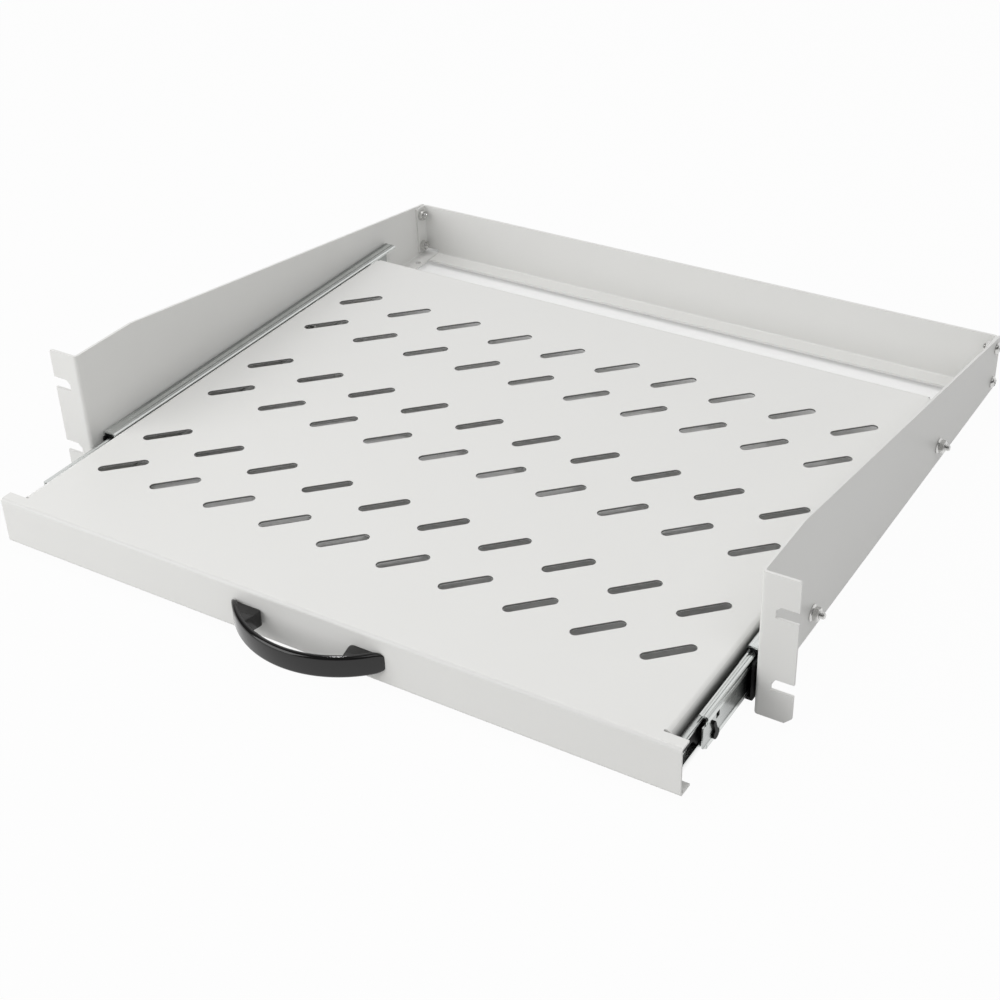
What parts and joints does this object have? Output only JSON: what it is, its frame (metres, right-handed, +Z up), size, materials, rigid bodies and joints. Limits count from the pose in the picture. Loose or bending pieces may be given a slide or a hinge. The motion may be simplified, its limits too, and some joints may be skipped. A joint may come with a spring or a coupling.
{
  "type": "sliding rack shelf",
  "caption": "Slotted steel shelf that slides out on telescopic ball slides, in a low rack-mounted frame with slotted ears and a black bow handle.",
  "frame": {"origin": "midway between the four rack slots, in the plane of the rear faces of the ears", "axes": "+X to the right along the rack's width, +Y into the rack, +Z up; the shelf slides out along -Y"},
  "size_m": [0.4826, 0.4675, 0.0882],
  "materials": {
    "powder_coat": "light grey semi-gloss powder coat",
    "zinc_rail": "bright zinc plated rolled steel",
    "zinc_fastener": "bright zinc plate",
    "ball_steel": "polished",
    "slide_plastic": "black satin moulding",
    "handle_plastic": "black gloss moulding"
  },
  "bodies": {
    "frame": {"left_side_panel": "powder_coat", "right_side_panel": "powder_coat", "rear_panel": "powder_coat", "left_outer_rail": "zinc_rail", "right_outer_rail": "zinc_rail", "left_front_buffer": "slide_plastic", "right_front_buffer": "slide_plastic", "left_rear_buffer": "slide_plastic", "right_rear_buffer": "slide_plastic", "rail_mount_screws": "zinc_fastener", "rail_flange_nuts": "zinc_fastener", "corner_screws": "zinc_fastener", "corner_nuts": "zinc_fastener"},
    "left_middle": {"left_middle_rail": "zinc_rail", "left_middle_stop": "slide_plastic"},
    "right_middle": {"right_middle_rail": "zinc_rail", "right_middle_stop": "slide_plastic"},
    "outer_cages": {"left_outer_cage": "zinc_rail", "right_outer_cage": "zinc_rail", "outer_balls": "ball_steel"},
    "inner_cages": {"left_inner_cage": "zinc_rail", "right_inner_cage": "zinc_rail", "inner_balls": "ball_steel"},
    "shelf": {"shelf_tray": "powder_coat", "left_inner_rail": "zinc_rail", "right_inner_rail": "zinc_rail", "left_inner_catch": "slide_plastic", "right_inner_catch": "slide_plastic", "tray_rail_screws": "zinc_fastener", "tray_rail_nuts": "zinc_fastener", "handle": "handle_plastic", "handle_screws": "zinc_fastener"}
  },
  "joints": [
    {"name": "shelf_slide", "type": "slide", "parent": "frame", "child": "shelf", "axis": [0, -1, 0], "range_m": [-0.076, 0.224]},
    {"name": "left_middle_slide", "type": "slide", "parent": "frame", "child": "left_middle", "axis": [0, -1, 0], "range_m": [-0.0532, 0.1568]},
    {"name": "right_middle_slide", "type": "slide", "parent": "frame", "child": "right_middle", "axis": [0, -1, 0], "range_m": [-0.0532, 0.1568]},
    {"name": "outer_cage_slide", "type": "slide", "parent": "frame", "child": "outer_cages", "axis": [0, -1, 0], "range_m": [-0.0266, 0.0784]},
    {"name": "inner_cage_slide", "type": "slide", "parent": "frame", "child": "inner_cages", "axis": [0, -1, 0], "range_m": [-0.0646, 0.1904]}
  ],
  "couplings": [
    {"joint": "left_middle_slide", "follows": "shelf_slide", "ratio": 0.7},
    {"joint": "right_middle_slide", "follows": "shelf_slide", "ratio": 0.7},
    {"joint": "outer_cage_slide", "follows": "shelf_slide", "ratio": 0.35},
    {"joint": "inner_cage_slide", "follows": "shelf_slide", "ratio": 0.85}
  ]
}
